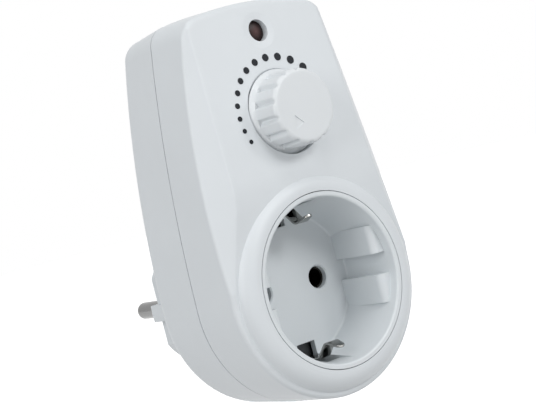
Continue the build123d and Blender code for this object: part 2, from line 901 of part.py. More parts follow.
# Earth bars: from the strap through the collar into the grooves of the plug body
for name, side in (("earth_bar_upper", 1), ("earth_bar_lower", -1)):
    with BuildPart() as bar:
        with BuildSketch(facing_front(-earth_bar_setback)):
            with Locations((0, side * (earth_bar_height + earth_bar_thickness / 2))):
                Rectangle(2 * earth_bar_half_width, earth_bar_thickness)
        extrude(amount=-earth_bar_setback - strap_y - strap_thickness)
    bar.part.label = name
    export_step(bar.part, f"parts/{name}.step")

# Earth clips: bent strips, each sprung about its root just in front of the strap
clip_root_depth = recess_depth + floor_thickness + strap_gap - clip_root_gap
for name, side in (("earth_clip_upper", 1), ("earth_clip_lower", -1)):
    with BuildPart() as clip:
        with BuildSketch(Plane.YZ):
            with BuildLine():
                FilletPolyline(
                    (rim_y + clip_root_depth, side * clip_root_height),
                    (rim_y + clip_bend_depth, side * clip_root_height),
                    (rim_y + clip_crest_depth, side * clip_crest_height),
                    (rim_y + clip_tip_depth, side * clip_tip_height),
                    radius=clip_rounding,
                )
            trace(line_width=clip_thickness)
        extrude(amount=clip_half_width, both=True)
        tip_edges = clip.edges().filter_by(lambda edge: edge.length < clip_thickness + clip_root_gap)
        fillet(tip_edges.sort_by(Axis.Y)[:2], clip_tip_rounding)
    clip.part.label = name
    export_step(clip.part, f"parts/{name}.step")


def polar(radius, angle):
    """The point at this radius and angle in degrees."""
    return radius * math.cos(math.radians(angle)), radius * math.sin(math.radians(angle))


def lobed_outline(radius):
    """The skirt's outline: convex lobes with a narrow groove between each two."""
    pitch = 360 / groove_count
    with BuildSketch() as shape:
        with BuildLine():
            for index in range(groove_count):
                groove = groove_angle + index * pitch
                start = polar(radius - lobe_drop, groove - groove_half_angle)
                end = polar(radius - lobe_drop, groove + groove_half_angle)
                after = polar(radius - lobe_drop, groove + pitch - groove_half_angle)
                ThreePointArc(start, polar(radius - groove_depth, groove), end)
                ThreePointArc(end, polar(radius, groove + pitch / 2), after)
        make_face()
    return shape.sketch


# Dial knob: tapered flange in its well, fluted skirt, flat face with a sunk triangle, flatted hub
knob_back_depth = knob_well_depth - knob_well_gap
knob_back_y = rim_y + knob_back_depth
knob_flange_y = knob_back_y - knob_flange_thickness
knob_face_y = knob_back_y - knob_height
with BuildPart() as skirt_limit:
    with BuildSketch(facing_front(knob_flange_y)):
        Circle(knob_skirt_radius)
    with BuildSketch(facing_front(knob_face_y)):
        Circle(knob_face_radius)
    loft(ruled=True)
    fillet(skirt_limit.edges().group_by(Axis.Y)[0], knob_face_rounding)
with BuildPart() as dial_knob:
    with BuildSketch(facing_front(knob_flange_y)):
        add(lobed_outline(knob_skirt_radius))
    with BuildSketch(facing_front(knob_face_y)):
        add(lobed_outline(knob_face_radius))
    loft(ruled=True)
    add(skirt_limit.part, mode=Mode.INTERSECT)
    with BuildSketch(facing_front(knob_back_y)):
        Circle(knob_flange_radius)
    extrude(amount=knob_rim_thickness)
    with BuildPart(mode=Mode.PRIVATE) as flange:
        with BuildSketch(facing_front(knob_back_y - knob_rim_thickness)):
            Circle(knob_flange_radius)
        with BuildSketch(facing_front(knob_flange_y)):
            Circle(knob_skirt_radius)
        loft(ruled=True)
    add(flange.part)
    with BuildSketch(facing_front(knob_back_y)):
        Circle(knob_face_radius - groove_depth - knob_skin)
        Circle(knob_hub_radius, mode=Mode.SUBTRACT)
    extrude(amount=knob_height - knob_face_thickness, mode=Mode.SUBTRACT)
    with BuildSketch(facing_front(knob_back_y)):
        Circle(shaft_radius + shaft_fit)
        with Locations((0, shaft_flat + shaft_fit + shaft_radius / 2)):
            Rectangle(2 * shaft_radius, shaft_radius, mode=Mode.SUBTRACT)
    extrude(amount=knob_height - knob_face_thickness, mode=Mode.SUBTRACT)
    with BuildSketch(facing_front(knob_face_y + pointer_sink)):
        apex = polar(pointer_reach, pointer_angle)
        base = polar(pointer_reach - pointer_length, pointer_angle)
        aside = polar(pointer_width / 2, pointer_angle + 90)
        with BuildLine():
            Polyline(
                apex,
                (base[0] + aside[0], base[1] + aside[1]),
                (base[0] - aside[0], base[1] - aside[1]),
                close=True,
            )
        make_face()
    extrude(amount=pointer_sink, mode=Mode.SUBTRACT)
dial_axis_place = Location((0, 0, dial_height))
knob = dial_knob.part.moved(dial_axis_place)
knob.label = "dial_knob"
export_step(knob, "parts/dial_knob.step")

# Dial shaft: from the rotor of the potentiometer to the knob's hub, flatted in the knob
pot_base_y = board_front_y - pot_floor
pot_front_y = board_front_y - pot_height
shaft_front_y = knob_face_y + knob_face_thickness + shaft_end_gap
with BuildPart() as dial_shaft:
    with BuildSketch(facing_front(pot_base_y - rotor_gap)):
        with Locations((0, dial_height)):
            Circle(shaft_radius)
    extrude(amount=pot_base_y - rotor_gap - shaft_front_y)
    with BuildSketch(facing_front(knob_back_y)):
        with Locations((0, dial_height + shaft_flat + shaft_radius / 2)):
            Rectangle(2 * shaft_radius, shaft_radius)
    extrude(amount=knob_height, mode=Mode.SUBTRACT)
dial_shaft.part.label = "dial_shaft"
export_step(dial_shaft.part, "parts/dial_shaft.step")

# Potentiometer: case with its bush, base on the board, track on the base, rotor with the wiper
with BuildPart() as pot_case:
    with BuildSketch(facing_front(pot_base_y)):
        with Locations((0, dial_height)):
            Circle(pot_radius)
    extrude(amount=pot_base_y - pot_front_y)
    with BuildSketch(facing_front(pot_front_y)):
        with Locations((0, dial_height)):
            Circle(pot_bush_radius)
    extrude(amount=pot_bush_length)
    with BuildSketch(facing_front(pot_base_y)):
        with Locations((0, dial_height)):
            Circle(pot_radius - pot_skin)
    extrude(amount=pot_base_y - pot_front_y - pot_skin, mode=Mode.SUBTRACT)
    with BuildSketch(facing_front(pot_base_y)):
        with Locations((0, dial_height)):
            Circle(shaft_radius + shaft_fit)
    extrude(amount=pot_height + pot_bush_length, mode=Mode.SUBTRACT)
pot_case.part.label = "pot_case"
export_step(pot_case.part, "parts/pot_case.step")

with BuildPart() as pot_base:
    with BuildSketch(facing_front(board_front_y)):
        with Locations((0, dial_height)):
            Circle(pot_radius)
    extrude(amount=pot_floor)
pot_base.part.label = "pot_base"
export_step(pot_base.part, "parts/pot_base.step")

with BuildPart() as pot_track:
    with BuildSketch(facing_front(pot_base_y)):
        with Locations((0, dial_height)):
            Circle(track_outer_radius)
            Circle(track_inner_radius, mode=Mode.SUBTRACT)
        with Locations((0, dial_height - track_outer_radius)):
            Rectangle(track_gap, 2 * track_inner_radius, mode=Mode.SUBTRACT)
    extrude(amount=track_thickness)
pot_track.part.label = "pot_track"
export_step(pot_track.part, "parts/pot_track.step")

with BuildPart() as pot_wiper:
    rotor_front_y = pot_front_y + pot_skin + rotor_gap
    with BuildSketch(facing_front(rotor_front_y + rotor_thickness)):
        with Locations((0, dial_height)):
            Circle(rotor_radius)
            Circle(shaft_radius + pilot_clearance, mode=Mode.SUBTRACT)
    extrude(amount=rotor_thickness)
    wiper_rear_y = pot_base_y - track_thickness - wiper_gap
    with BuildSketch(facing_front(wiper_rear_y)) as arm:
        with BuildLine(Location((0, dial_height))):
            first_angle = pointer_angle - wiper_arc / 2
            outer = CenterArc((0, 0), wiper_outer_radius, first_angle, wiper_arc)
            inner = CenterArc((0, 0), wiper_inner_radius, first_angle, wiper_arc)
            Line(outer @ 0, inner @ 0)
            Line(outer @ 1, inner @ 1)
        make_face()
    extrude(amount=wiper_rear_y - rotor_front_y - rotor_thickness)
pot_wiper.part.label = "pot_wiper"
export_step(pot_wiper.part, "parts/pot_wiper.step")

# Printed scale: a row of dots that grow with the setting, on the dial panel
panel_surface = Plane(
    origin=(0, rim_y + panel_depth, dial_height),
    x_dir=(1, 0, 0),
    z_dir=(0, -math.cos(tilt), math.sin(tilt)),
)
with BuildPart() as scale_dots:
    with BuildSketch(panel_surface):
        dot_angle = scale_start_angle
        for index in range(dot_count):
            diameter = first_dot + index * dot_growth
            with Locations(polar(scale_radius, dot_angle)):
                Circle(diameter / 2)
            step = dot_gap + diameter + dot_growth / 2
            dot_angle -= math.degrees(step / scale_radius)
    extrude(amount=dot_thickness)
scale_dots.part.label = "scale_dots"
export_step(scale_dots.part, "parts/scale_dots.step")

# Indicator: domed lens set back in its hole, and the glow lamp behind it on the board
lens_front_y = panel_y(lamp_height) + lens_recess
lens_rear_y = lens_front_y + lens_length
lens_flange_y = panel_y(lamp_height + lamp_hole_radius + lens_flange_width) + wall + lens_flange_gap
lens_radius = lamp_hole_radius - lens_clearance
lens_flange_radius = lamp_hole_radius + lens_flange_width
dome_radius = (lens_radius**2 + lens_dome**2) / (2 * lens_dome)
dome_angle = math.degrees(math.asin(lens_radius / dome_radius))
with BuildPart() as indicator_lens:
    with BuildSketch(Plane.XY.offset(lamp_height)):
        with BuildLine():
            dome = JernArc((0, lens_front_y - lens_dome), (1, 0), dome_radius, dome_angle)
            Polyline(
                dome @ 1,
                (lens_radius, lens_flange_y),
                (lens_flange_radius, lens_flange_y),
                (lens_flange_radius, lens_flange_y + lens_flange_thickness),
                (lens_radius, lens_flange_y + lens_flange_thickness),
                (lens_radius, lens_rear_y),
                (0, lens_rear_y),
                dome @ 0,
            )
        make_face()
    revolve(axis=Axis((0, 0, lamp_height), (0, 1, 0)))
indicator_lens.part.label = "indicator_lens"
export_step(indicator_lens.part, "parts/indicator_lens.step")

with BuildPart() as indicator_lamp:
    lamp_front_y = lens_rear_y + lamp_gap
    with BuildSketch(facing_front(lamp_front_y + lamp_length)):
        with Locations((0, lamp_height)):
            Circle(lamp_radius)
    extrude(amount=lamp_length)
    fillet(indicator_lamp.edges().group_by(Axis.Y)[0], lamp_radius * lamp_rounding_share)
    with BuildSketch(facing_front(board_front_y)):
        with Locations((-lamp_radius / 2, lamp_height), (lamp_radius / 2, lamp_height)):
            Circle(lead_radius)
    extrude(amount=board_front_y - lamp_front_y - lamp_length)
indicator_lamp.part.label = "indicator_lamp"
export_step(indicator_lamp.part, "parts/indicator_lamp.step")

# Circuit board on its four posts, and its screws
with BuildPart() as circuit_board:
    with BuildSketch(facing_front(board_back_y)):
        with Locations((0, dial_height + (board_above - board_below) / 2)):
            RectangleRounded(2 * board_half_width, board_above + board_below, board_corner)
        for post_x, post_z in housing_posts[:2]:
            with Locations((post_x, post_z)):
                Circle(rear_post_radius + board_clearance, mode=Mode.SUBTRACT)
        for post_x, post_z in board_posts:
            with Locations((post_x, post_z)):
                Circle(board_screw_radius + screw_clearance, mode=Mode.SUBTRACT)
    extrude(amount=board_thickness)
circuit_board.part.label = "circuit_board"
export_step(circuit_board.part, "parts/circuit_board.step")


def screw_set(places, seat_y, radius, length, head_radius, head_height):
    """Screws with slotted heads, their heads behind the plane at seat_y."""
    with BuildPart() as screws:
        for x, z in places:
            with BuildSketch(facing_front(seat_y + head_height)):
                with Locations((x, z)):
                    Circle(head_radius)
            extrude(amount=head_height)
            with BuildSketch(facing_front(seat_y)):
                with Locations((x, z)):
                    Circle(radius)
            extrude(amount=length)
            with BuildSketch(facing_front(seat_y + head_height)):
                with Locations((x, z)):
                    Rectangle(2 * head_radius, screw_slot_width)
            extrude(amount=head_height * screw_slot_share, mode=Mode.SUBTRACT)
    return screws.part


board_screws = screw_set(
    board_posts,
    board_back_y,
    board_screw_radius,
    board_screw_length,
    board_screw_head_radius,
    board_screw_head_height,
)
board_screws.label = "board_screws"
export_step(board_screws, "parts/board_screws.step")

housing_screws = screw_set(
    housing_posts,
    back_y - screw_head_sink,
    screw_radius,
    screw_length,
    screw_head_radius,
    screw_head_height,
)
housing_screws.label = "housing_screws"
export_step(housing_screws, "parts/housing_screws.step")

# Triac on the rear of the board, its tab screwed to an angled heat sink
sink_y = board_back_y + sink_stand
sink_low_z = dial_height - sink_low
triac_x = sink_x - sink_thickness / 3
triac_low_z = sink_low_z + triac_low
tab_hole_z = triac_low_z + triac_tall + triac_tab_tall / 2
with BuildPart() as triac:
    with BuildSketch(facing_front(sink_y)):
        with Locations((triac_x, triac_low_z + triac_tall / 2)):
            Rectangle(triac_width, triac_tall)
    extrude(amount=triac_height)
    with BuildSketch(facing_front(sink_y)):
        with Locations((triac_x, tab_hole_z)):
            Rectangle(triac_width, triac_tab_tall)
            Circle(triac_screw_radius + screw_clearance, mode=Mode.SUBTRACT)
    extrude(amount=triac_tab_thickness)
    for index in (-1, 0, 1):
        lead_x = triac_x + index * triac_lead_spacing
        lead_y = sink_y - triac_height / 2
        with BuildSketch(facing_front(lead_y + triac_lead_half)):
            with Locations((lead_x, triac_low_z - triac_lead_drop / 2)):
                Rectangle(2 * triac_lead_half, triac_lead_drop)
        extrude(amount=2 * triac_lead_half)
        with BuildSketch(facing_front(lead_y)):
            with Locations((lead_x, triac_low_z - triac_lead_drop + triac_lead_half)):
                Rectangle(2 * triac_lead_half, 2 * triac_lead_half)
        extrude(amount=lead_y - board_back_y)
triac.part.label = "triac"
export_step(triac.part, "parts/triac.step")

with BuildPart() as heat_sink:
    with BuildSketch(facing_front(sink_y + sink_thickness)):
        with Locations((sink_x, sink_low_z + sink_tall / 2)):
            Rectangle(sink_width, sink_tall)
        with Locations((triac_x, tab_hole_z)):
            Circle(triac_screw_radius + pilot_clearance, mode=Mode.SUBTRACT)
    extrude(amount=sink_thickness)
    with BuildSketch(facing_front(sink_y)):
        with Locations((sink_x + sink_width / 2 - sink_thickness / 2, sink_low_z + sink_tall / 2)):
            Rectangle(sink_thickness, sink_tall)
    extrude(amount=sink_stand)
heat_sink.part.label = "heat_sink"
export_step(heat_sink.part, "parts/heat_sink.step")

with BuildPart() as heat_sink_screw:
    head_y = sink_y - triac_tab_thickness
    with BuildSketch(facing_front(head_y)):
        with Locations((triac_x, tab_hole_z)):
            Circle(triac_screw_head_radius)
    extrude(amount=triac_screw_head_height)
    with BuildSketch(facing_front(sink_y + sink_thickness + triac_screw_end)):
        with Locations((triac_x, tab_hole_z)):
            Circle(triac_screw_radius)
    extrude(amount=sink_thickness + triac_screw_end + triac_tab_thickness)
heat_sink_screw.part.label = "heat_sink_screw"
export_step(heat_sink_screw.part, "parts/heat_sink_screw.step")

# Interference choke: a ring core, wound but for a gap, flat on the rear of the board
choke_z = dial_height + choke_rise
choke_axis = Axis((choke_x, 0, choke_z), (0, 1, 0))
core_y = board_back_y + choke_gap + winding_thickness
core_mean = (core_inner_radius + core_outer_radius) / 2
core_width = core_outer_radius - core_inner_radius
ring_section = Plane(origin=(choke_x, core_y + core_height / 2, choke_z), x_dir=(1, 0, 0), z_dir=(0, 0, 1))
with BuildPart() as choke_core:
    with BuildSketch(ring_section):
        with Locations((core_mean, 0)):
            RectangleRounded(core_width, core_height, core_rounding)
    revolve(axis=choke_axis)
choke_core.part.label = "choke_core"
export_step(choke_core.part, "parts/choke_core.step")

with BuildPart() as choke_winding:
    with BuildSketch(ring_section):
        with Locations((core_mean, 0)):
            RectangleRounded(
                core_width + 2 * winding_thickness,
                core_height + 2 * winding_thickness,
                core_rounding + winding_thickness,
            )
            RectangleRounded(
                core_width + 2 * winding_fit,
                core_height + 2 * winding_fit,
                core_rounding + winding_fit,
                mode=Mode.SUBTRACT,
            )
    revolve(axis=choke_axis, revolution_arc=winding_arc)
choke_winding.part.label = "choke_winding"
export_step(choke_winding.part, "parts/choke_winding.step")

# Box capacitors on the front of the board
for name, x, z, width, tall, height in (
    (
        "suppression_capacitor",
        film_x,
        dial_height + film_rise,
        film_width,
        film_tall,
        film_height,
    ),
    (
        "timing_capacitor",
        timing_x,
        dial_height + timing_rise,
        timing_width,
        timing_tall,
        timing_height,
    ),
):
    with BuildPart() as capacitor:
        with BuildSketch(facing_front(board_front_y)):
            with Locations((x, z)):
                Rectangle(width, tall)
        extrude(amount=height)
        fillet(capacitor.edges().filter_by(Axis.Y), film_edge)
    capacitor.part.label = name
    export_step(capacitor.part, f"parts/{name}.step")


def axial_part(x, z, radius, length):
    """A round component lying along X over the board, on two bent leads."""
    axis_y = board_front_y - resistor_lift - radius
    with BuildPart() as component:
        with BuildSketch(Plane.YZ.offset(x - length / 2)):
            with Locations((axis_y, z)):
                Circle(radius)
        extrude(amount=length)
        lead_span = length + 2 * resistor_lead
        with BuildSketch(Plane.YZ.offset(x - lead_span / 2)):
            with Locations((axis_y, z)):
                Circle(lead_radius)
        extrude(amount=lead_span)
        with BuildSketch(facing_front(board_front_y)):
            for side in (-1, 1):
                with Locations((x + side * (lead_span / 2 - lead_radius), z)):
                    Circle(lead_radius)
        extrude(amount=board_front_y - axis_y)
    return component.part


resistors = Compound(
    children=[
        axial_part(
            resistor_x,
            dial_height + resistor_rise + index * resistor_row,
            resistor_radius,
            resistor_length,
        )
        for index in range(resistor_count)
    ]
)
resistors.label = "resistors"
export_step(resistors, "parts/resistors.step")

diac = axial_part(diac_x, dial_height - diac_drop, diac_radius, diac_length)
diac.label = "diac"
export_step(diac, "parts/diac.step")

# Fuse: a glass tube in two caps, each cap in a sprung clip on the board
fuse_low_z = dial_height - fuse_low
cap_radius = fuse_radius + fuse_cap_skin
fuse_y = board_front_y - fuse_lift - cap_radius
cap_places = (fuse_low_z, fuse_low_z + fuse_length - fuse_cap_length)
with BuildPart() as fuse_glass:
    with BuildSketch(Plane.XY.offset(fuse_low_z + fuse_cap_skin)):
        with Locations((fuse_x, fuse_y)):
            Circle(fuse_radius)
            Circle(fuse_radius - fuse_skin, mode=Mode.SUBTRACT)
    extrude(amount=fuse_length - 2 * fuse_cap_skin)
fuse_glass.part.label = "fuse_glass"
export_step(fuse_glass.part, "parts/fuse_glass.step")

with BuildPart() as fuse_caps:
    for cap_z in cap_places:
        with BuildSketch(Plane.XY.offset(cap_z)):
            with Locations((fuse_x, fuse_y)):
                Circle(cap_radius)
        extrude(amount=fuse_cap_length)
    with BuildSketch(Plane.XY.offset(fuse_low_z + fuse_cap_skin)):
        with Locations((fuse_x, fuse_y)):
            Circle(fuse_radius)
    extrude(amount=fuse_length - 2 * fuse_cap_skin, mode=Mode.SUBTRACT)
fuse_caps.part.label = "fuse_caps"
export_step(fuse_caps.part, "parts/fuse_caps.step")

with BuildPart() as fuse_clips:
    clip_span = 2 * (cap_radius + fuse_clip_skin)
    clip_rise = board_front_y - fuse_y + cap_radius / 2
    for cap_z in cap_places:
        clip_low_z = cap_z + (fuse_cap_length - fuse_clip_width) / 2
        with BuildSketch(Plane.XY.offset(clip_low_z)):
            with Locations((fuse_x, board_front_y - clip_rise / 2)):
                Rectangle(clip_span, clip_rise)
            with Locations((fuse_x, board_front_y - clip_rise / 2 - fuse_clip_skin)):
                Rectangle(2 * cap_radius, clip_rise, mode=Mode.SUBTRACT)
        extrude(amount=fuse_clip_width)
fuse_clips.part.label = "fuse_clips"
export_step(fuse_clips.part, "parts/fuse_clips.step")

# Board terminals on the rear of the board
terminal_places = (terminal_x_live, terminal_x_load, terminal_x_neutral)
with BuildPart() as board_terminals:
    with BuildSketch(facing_front(board_back_y + terminal_height)):
        for x in terminal_places:
            with Locations((x, terminal_height_z)):
                Rectangle(terminal_size, terminal_size)
    extrude(amount=terminal_height)
board_terminals.part.label = "board_terminals"
export_step(board_terminals.part, "parts/board_terminals.step")


def wire(points):
    """A wire of round section along straight runs joined by arcs."""
    with BuildPart() as strand:
        with BuildLine() as route:
            FilletPolyline(*points, radius=wire_bend)
        with BuildSketch(Plane(origin=route.line @ 0, z_dir=route.line % 0)):
            Circle(wire_radius)
        sweep()
    return strand.part


# The three wires between the plug's contacts and the board
tab_y = sleeve_end_y + sleeve_tab_length / 2
terminal_y = board_back_y + terminal_height
live_wire = wire(
    (
        (pin_half, rim_y + live_wire_start, tab_half_thickness + wire_radius),
        (pin_half, rim_y + live_wire_rear, tab_half_thickness + wire_radius),
        (live_wire_x, rim_y + live_wire_rear, live_wire_height),
        (live_wire_x, rim_y + live_wire_run, live_wire_height),
        (terminal_x_live, rim_y + live_wire_run, terminal_height_z),
        (terminal_x_live, terminal_y, terminal_height_z),
    )
)
live_wire.label = "live_wire"
export_step(live_wire, "parts/live_wire.step")

load_wire = wire(
    (
        (pin_half, tab_y, tab_half_thickness),
        (pin_half, tab_y, load_wire_knee),
        (load_wire_x, tab_y, load_wire_height),
        (load_wire_x, rim_y + load_wire_run, load_wire_height),
        (terminal_x_load, rim_y + load_wire_run, terminal_height_z),
        (terminal_x_load, terminal_y, terminal_height_z),
    )
)
load_wire.label = "load_wire"
export_step(load_wire, "parts/load_wire.step")

neutral_wire = wire(
    (
        (-pin_half, rim_y + neutral_wire_rear, tab_half_thickness + link_thickness),
        (-pin_half, rim_y + neutral_wire_rear, neutral_wire_knee),
        (neutral_wire_x, rim_y + neutral_wire_rear, neutral_wire_height),
        (neutral_wire_x, rim_y + neutral_wire_run, neutral_wire_height),
        (terminal_x_neutral, rim_y + neutral_wire_run, terminal_height_z),
        (terminal_x_neutral, terminal_y, terminal_height_z),
    )
)
neutral_wire.label = "neutral_wire"
export_step(neutral_wire, "parts/neutral_wire.step")
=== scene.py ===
import json
import math

import bmesh
import bpy
from mathutils import Euler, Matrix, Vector


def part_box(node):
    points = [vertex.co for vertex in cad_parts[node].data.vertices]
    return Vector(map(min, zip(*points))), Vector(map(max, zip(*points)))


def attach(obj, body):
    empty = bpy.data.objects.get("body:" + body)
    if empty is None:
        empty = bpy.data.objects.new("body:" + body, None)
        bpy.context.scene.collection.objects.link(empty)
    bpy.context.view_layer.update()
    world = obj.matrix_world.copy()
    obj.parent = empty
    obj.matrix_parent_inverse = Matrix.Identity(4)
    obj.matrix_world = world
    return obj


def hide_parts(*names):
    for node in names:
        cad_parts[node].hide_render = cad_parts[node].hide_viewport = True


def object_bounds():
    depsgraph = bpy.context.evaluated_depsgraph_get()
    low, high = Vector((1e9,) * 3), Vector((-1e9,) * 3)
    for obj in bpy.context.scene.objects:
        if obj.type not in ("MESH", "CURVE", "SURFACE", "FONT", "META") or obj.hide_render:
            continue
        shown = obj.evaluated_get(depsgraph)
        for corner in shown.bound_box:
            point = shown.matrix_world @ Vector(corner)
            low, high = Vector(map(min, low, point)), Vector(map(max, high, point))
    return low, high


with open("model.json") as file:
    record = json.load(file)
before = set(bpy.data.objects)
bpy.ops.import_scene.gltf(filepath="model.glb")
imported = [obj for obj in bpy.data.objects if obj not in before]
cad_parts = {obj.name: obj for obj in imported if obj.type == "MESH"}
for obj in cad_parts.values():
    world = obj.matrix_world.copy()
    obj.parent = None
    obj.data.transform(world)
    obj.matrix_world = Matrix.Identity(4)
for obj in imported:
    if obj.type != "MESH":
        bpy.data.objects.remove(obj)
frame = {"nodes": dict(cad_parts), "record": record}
cad_box = [list(corner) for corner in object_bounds()]
mm = 0.001
micron = 0.000001
white = (1, 1, 1, 1)

# Camera: the photograph's own viewpoint, found from the socket's standard sizes. Its turns are in
# degrees, its lens and sensor in mm
camera_place = Vector((-235.2, -346.6, 32.04)) * mm
camera_turn = (88.586, 14.236, -37.786)
camera_lens = 99.94
sensor_width = 36.0
camera_near = 10 * mm
camera_far = 10

# Stage: a plain white floor and a soft studio around the object, in metres
floor_drop = 45 * mm
floor_half = 3.0
floor_colour = (0.6, 0.6, 0.6, 1)
floor_glow = 0.95
world_colour = (0.97, 0.985, 1.0, 1)
world_level = 0.4

# Lamps: the place and width of each in metres and its power in watts
aim_point = Vector((0, -0.04, 0.02))
lamps = {
    "front_lamp": ((0.15, -0.85, 0.5), 0.3, 2.3),
    "right_lamp": ((0.5, -0.75, 0.45), 0.22, 1.1),
    "over_lamp": ((-0.1, -0.4, 0.9), 0.4, 1.3),
    "left_lamp": ((-0.9, -0.3, 0.35), 0.6, 3.5),
}


def add_object(name, data):
    piece = bpy.data.objects.new(name, data)
    bpy.context.scene.collection.objects.link(piece)
    return piece


def link(tree, source, target):
    tree.links.new(source, target)


def set_values(node, values):
    for name, value in values.items():
        node.inputs[name].default_value = value


def new_material(name):
    material = bpy.data.materials.new(name)
    material.use_nodes = True
    tree = material.node_tree
    return material, tree, tree.nodes["Principled BSDF"]


def seen_directly(tree):
    """A factor that is 1 where a ray from the camera, a mirror or a glass arrives, else 0."""
    path = tree.nodes.new("ShaderNodeLightPath")
    factor = path.outputs["Is Camera Ray"]
    for ray in ("Is Glossy Ray", "Is Transmission Ray"):
        either = tree.nodes.new("ShaderNodeMath")
        either.operation = "MAXIMUM"
        link(tree, factor, either.inputs[0])
        link(tree, path.outputs[ray], either.inputs[1])
        factor = either.outputs[0]
    return factor


def make_camera():
    data = bpy.data.cameras.new("camera")
    data.lens = camera_lens
    data.sensor_width = sensor_width
    data.clip_start = camera_near
    data.clip_end = camera_far
    camera = add_object("camera", data)
    camera.location = camera_place
    camera.rotation_euler = Euler([math.radians(turn) for turn in camera_turn])
    bpy.context.scene.camera = camera


def make_world():
    """White where it is seen directly, and a soft weaker light on everything."""
    world = bpy.data.worlds.new("studio")
    bpy.context.scene.world = world
    world.use_nodes = True
    tree = world.node_tree
    tree.nodes.clear()
    soft = tree.nodes.new("ShaderNodeBackground")
    set_values(soft, {"Color": world_colour, "Strength": world_level})
    plain = tree.nodes.new("ShaderNodeBackground")
    set_values(plain, {"Color": white})
    mix = tree.nodes.new("ShaderNodeMixShader")
    output = tree.nodes.new("ShaderNodeOutputWorld")
    link(tree, seen_directly(tree), mix.inputs["Fac"])
    link(tree, soft.outputs[0], mix.inputs[1])
    link(tree, plain.outputs[0], mix.inputs[2])
    link(tree, mix.outputs[0], output.inputs["Surface"])


def make_floor():
    """A pale floor that takes the object's shadow, and glows only where it is seen directly."""
    low = cad_box[0][2] - floor_drop
    corners = [(-1, -1), (1, -1), (1, 1), (-1, 1)]
    mesh = bpy.data.meshes.new("floor")
    mesh.from_pydata([(x * floor_half, y * floor_half, low) for x, y in corners], [], [(0, 1, 2, 3)])
    floor = add_object("floor", mesh)
    material, tree, shader = new_material("floor_white")
    set_values(shader, {
        "Base Color": floor_colour,
        "Roughness": 0.9,
        "Specular IOR Level": 0.1,
        "Emission Color": white,
    })
    glow = tree.nodes.new("ShaderNodeMath")
    glow.operation = "MULTIPLY"
    glow.inputs[1].default_value = floor_glow
    link(tree, seen_directly(tree), glow.inputs[0])
    link(tree, glow.outputs[0], shader.inputs["Emission Strength"])
    mesh.materials.append(material)


def area_lamp(name, place, width, power):
    data = bpy.data.lights.new(name, "AREA")
    data.shape = "DISK"
    data.size = width
    data.energy = power
    lamp = add_object(name, data)
    lamp.location = place
    aim = aim_point - Vector(place)
    lamp.rotation_euler = aim.to_track_quat("-Z", "Y").to_euler()


make_camera()
bpy.context.scene.view_settings.view_transform = "Standard"
make_world()
make_floor()
for lamp_name, (lamp_place, lamp_width, lamp_power) in lamps.items():
    area_lamp(lamp_name, lamp_place, lamp_width, lamp_power)


# Materials: every scale is in waves per metre of the object's own space
patch_detail = 3.0
patch_low_share = 0.3
patch_high_share = 0.7
grain_detail = 2.0
# The lens's paler middle is painted glow of the lamp behind it; the rim colour is the lens's own dark
# red
lens_painted_glow_colour = (0.075, 0.036, 0.035)
lens_rim_colour = (0.014, 0.005, 0.005)
lens_rim_share = 0.6
band_share = 0.8


def object_place(tree):
    return tree.nodes.new("ShaderNodeTexCoord").outputs["Object"]


def object_noise(tree, scale, detail):
    noise = tree.nodes.new("ShaderNodeTexNoise")
    set_values(noise, {"Scale": scale, "Detail": detail})
    link(tree, object_place(tree), noise.inputs["Vector"])
    return noise.outputs["Fac"]


def object_bands(tree, axis, scale):
    """Straight waves along one axis."""
    wave = tree.nodes.new("ShaderNodeTexWave")
    wave.bands_direction = axis
    set_values(wave, {"Scale": scale})
    link(tree, object_place(tree), wave.inputs["Vector"])
    return wave.outputs["Fac"]


def ramp_colour(tree, shader, factor, stops, interpolation="LINEAR"):
    """The base colour by a factor, through two stops of position and colour."""
    ramp = tree.nodes.new("ShaderNodeValToRGB")
    ramp.color_ramp.interpolation = interpolation
    for element, (position, colour) in zip(ramp.color_ramp.elements, stops):
        element.position = position
        element.color = (*colour, 1)
    link(tree, factor, ramp.inputs["Fac"])
    link(tree, ramp.outputs["Color"], shader.inputs["Base Color"])


def vary_colour(tree, shader, colour, scale, amount):
    """The base colour, a little darker and lighter in soft patches."""
    low = [channel * (1 - amount) for channel in colour]
    high = [min(1, channel * (1 + amount)) for channel in colour]
    factor = object_noise(tree, scale, patch_detail)
    ramp_colour(tree, shader, factor, ((patch_low_share, low), (patch_high_share, high)))


def vary_roughness(tree, shader, roughness, scale, amount):
    """The roughness, a little lower and higher in soft patches."""
    spread = tree.nodes.new("ShaderNodeMapRange")
    set_values(spread, {"To Min": roughness - amount, "To Max": roughness + amount})
    link(tree, object_noise(tree, scale, patch_detail), spread.inputs["Value"])
    link(tree, spread.outputs["Result"], shader.inputs["Roughness"])


def relief(tree, shader, height, depth):
    """A bump that rises with a factor; depth is in metres."""
    bump = tree.nodes.new("ShaderNodeBump")
    set_values(bump, {"Distance": depth})
    link(tree, height, bump.inputs["Height"])
    link(tree, bump.outputs["Normal"], shader.inputs["Normal"])


def fine_grain(tree, shader, scale, depth):
    relief(tree, shader, object_noise(tree, scale, grain_detail), depth)


def moulded(name, colour, roughness, grain=9000, depth=4 * micron, patches=60):
    """Injection-moulded plastic: soft patches of tone, an even gloss and a very fine grain."""
    material, tree, shader = new_material(name)
    vary_colour(tree, shader, colour, patches, amount=0.012)
    vary_roughness(tree, shader, roughness, scale=900, amount=0.03)
    fine_grain(tree, shader, grain, depth)
    set_values(shader, {"IOR": 1.49})
    return material


def printed(name, colour, roughness):
    """Ink, with a coarser grain and less shine than the plastic that it lies on."""
    material = moulded(name, colour, roughness, grain=14000, depth=6 * micron, patches=900)
    set_values(material.node_tree.nodes["Principled BSDF"], {"Specular IOR Level": 0.2})
    return material


